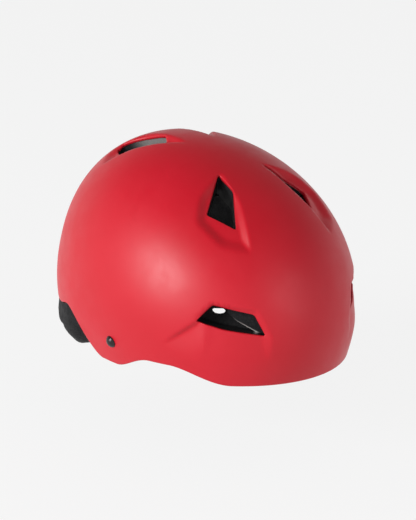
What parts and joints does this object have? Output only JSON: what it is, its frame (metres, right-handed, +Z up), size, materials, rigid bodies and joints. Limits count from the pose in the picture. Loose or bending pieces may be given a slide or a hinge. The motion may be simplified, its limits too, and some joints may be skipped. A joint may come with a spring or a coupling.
{
  "type": "hardshell helmet",
  "caption": "Hardshell sport helmet with scooped vents, foam liner, comfort pads and a riveted chin harness with a side-release buckle.",
  "frame": {"origin": "centre of the bounding box at the level that the helmet rests on", "axes": "+Z up through the crown, -Y towards the brow, +X towards the wearer's left; the helmet is symmetric across X"},
  "size_m": [0.2158, 0.279, 0.1672],
  "materials": {
    "shell_red": "satin",
    "foam": "matte",
    "pad_cloth": "woven",
    "hook_tape": "matte",
    "rivet_black": "gloss",
    "anchor_black": "satin",
    "webbing": "woven",
    "buckle_black": "satin",
    "keeper_rubber": "matte"
  },
  "bodies": {
    "helmet": {"outer_shell": "shell_red", "eps_liner": "foam", "brow_pad": "pad_cloth", "crown_pad_front": "pad_cloth", "crown_pad_rear": "pad_cloth", "side_pad_right": "pad_cloth", "side_pad_left": "pad_cloth", "rear_pad": "pad_cloth", "pad_hook_discs": "hook_tape", "rivet_right": "rivet_black", "rivet_left": "rivet_black", "anchor_rear_right": "anchor_black", "anchor_rear_left": "anchor_black", "anchor_front_right": "anchor_black", "anchor_front_left": "anchor_black"},
    "harness_right": {"strap_rear_right": "webbing", "strap_front_right": "webbing", "divider_right": "anchor_black"},
    "harness_left": {"strap_rear_left": "webbing", "strap_front_left": "webbing", "divider_left": "anchor_black"},
    "chin_right": {"chin_strap_right": "webbing", "buckle_socket": "buckle_black"},
    "chin_left": {"chin_strap_left": "webbing"},
    "tongue": {"buckle_tongue": "buckle_black"},
    "keeper": {"strap_keeper": "keeper_rubber"}
  },
  "joints": [
    {"name": "harness_right_swing", "type": "hinge", "parent": "helmet", "child": "harness_right", "pos_m": [-0.07671, -0.00818, 0.02576], "axis": [0, 1, 0], "range_deg": [-30, 68]},
    {"name": "chin_right_fold", "type": "hinge", "parent": "harness_right", "child": "chin_right", "pos_m": [-0.01406, -0.02818, 0.00499], "axis": [0, 1, 0], "range_deg": [0, 75]},
    {"name": "harness_left_swing", "type": "hinge", "parent": "helmet", "child": "harness_left", "pos_m": [0.07671, -0.00818, 0.02576], "axis": [0, -1, 0], "range_deg": [-30, 68]},
    {"name": "chin_left_fold", "type": "hinge", "parent": "harness_left", "child": "chin_left", "pos_m": [0.01406, -0.02818, 0.00499], "axis": [0, -1, 0], "range_deg": [0, 75]},
    {"name": "tongue_slide", "type": "slide", "parent": "chin_left", "child": "tongue", "axis": [0.9482, 0, 0.3176], "range_m": [-0.0017, 0.005]},
    {"name": "keeper_slide", "type": "slide", "parent": "chin_left", "child": "keeper", "axis": [0.9482, 0, 0.3176], "range_m": [-0.004, 0.004]}
  ]
}
